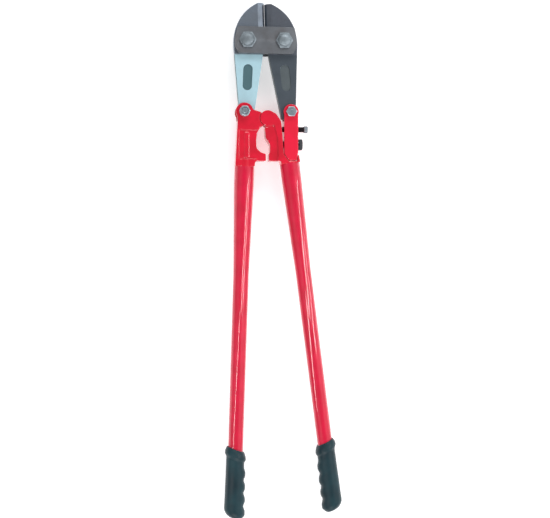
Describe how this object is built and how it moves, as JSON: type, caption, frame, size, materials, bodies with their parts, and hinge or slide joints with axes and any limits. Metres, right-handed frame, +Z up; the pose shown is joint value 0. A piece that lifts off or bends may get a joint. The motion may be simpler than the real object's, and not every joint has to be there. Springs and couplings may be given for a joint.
{
  "type": "bolt cutters",
  "caption": "Long-handled bolt cutters with a compound-hinged head, ground steel jaws, painted steel handles and ribbed vinyl grips.",
  "frame": {"origin": "under the middle of the tool's bounding box, on the plane of its lowest faces, with the tool lying flat", "axes": "+X across the tool to the adjuster's side, +Y along the tool from the grips to the jaws, +Z up through its thickness, front face up"},
  "size_m": [0.21, 0.9138, 0.065],
  "materials": {
    "red_paint": "gloss",
    "blade_steel": "satin",
    "plate_steel": "satin",
    "zinc_steel": "satin",
    "black_oxide": "satin",
    "grip_vinyl": "matte"
  },
  "bodies": {
    "head": {"front_link_plate": "plate_steel", "rear_link_plate": "plate_steel", "left_blade_bolt": "zinc_steel", "left_blade_lock_washer": "zinc_steel", "left_blade_nut": "zinc_steel", "right_blade_bolt": "zinc_steel", "right_blade_lock_washer": "zinc_steel", "right_blade_nut": "zinc_steel"},
    "left_blade": {"left_blade": "blade_steel"},
    "right_blade": {"right_blade": "blade_steel"},
    "left_handle": {"left_yoke": "red_paint", "left_tube": "red_paint", "left_grip": "grip_vinyl", "left_tail_bolt": "zinc_steel", "left_tail_washer": "zinc_steel", "left_tail_nut": "zinc_steel"},
    "right_handle": {"right_yoke": "red_paint", "centre_pin": "zinc_steel", "right_tube": "red_paint", "right_grip": "grip_vinyl", "lock_bolt": "black_oxide", "lock_washer": "black_oxide"},
    "adjuster": {"adjuster_arm": "red_paint", "right_tail_bolt": "zinc_steel", "right_tail_washer": "zinc_steel", "right_tail_nut": "zinc_steel"},
    "adjusting_screw": {"adjusting_screw": "black_oxide"}
  },
  "joints": [
    {"name": "handle_spread", "type": "hinge", "parent": "left_handle", "child": "right_handle", "pos_m": [-0.02843, 0.25252, 0.035], "axis": [0, 0, 1], "range_deg": [0, 81.38]},
    {"name": "left_blade_turn", "type": "hinge", "parent": "head", "child": "left_blade", "pos_m": [-0.06448, 0.38931, 0.035], "axis": [0, 0, 1], "range_deg": [0, 8.05]},
    {"name": "right_blade_turn", "type": "hinge", "parent": "head", "child": "right_blade", "pos_m": [0.0002, 0.38878, 0.035], "axis": [0, 0, 1], "range_deg": [-8.05, 0]},
    {"name": "left_handle_turn", "type": "hinge", "parent": "left_blade", "child": "left_handle", "pos_m": [-0.06973, 0.26402, 0.035], "axis": [0, 0, 1], "range_deg": [-50.1, 0]},
    {"name": "adjuster_rock", "type": "hinge", "parent": "right_handle", "child": "adjuster", "pos_m": [0.00457, 0.18402, 0.035], "axis": [0, 0, 1], "range_deg": [-0.5, 1]},
    {"name": "adjusting_screw_travel", "type": "slide", "parent": "adjuster", "child": "adjusting_screw", "axis": [1, 0, 0], "range_m": [-0.0005, 0.0009]}
  ],
  "couplings": [
    {"joint": "left_blade_turn", "follows": "handle_spread", "ratio": 0.098306},
    {"joint": "right_blade_turn", "follows": "handle_spread", "ratio": -0.098306},
    {"joint": "left_handle_turn", "follows": "handle_spread", "ratio": -0.61365},
    {"joint": "adjusting_screw_travel", "follows": "adjuster_rock", "m_per_rad": 0.05}
  ]
}
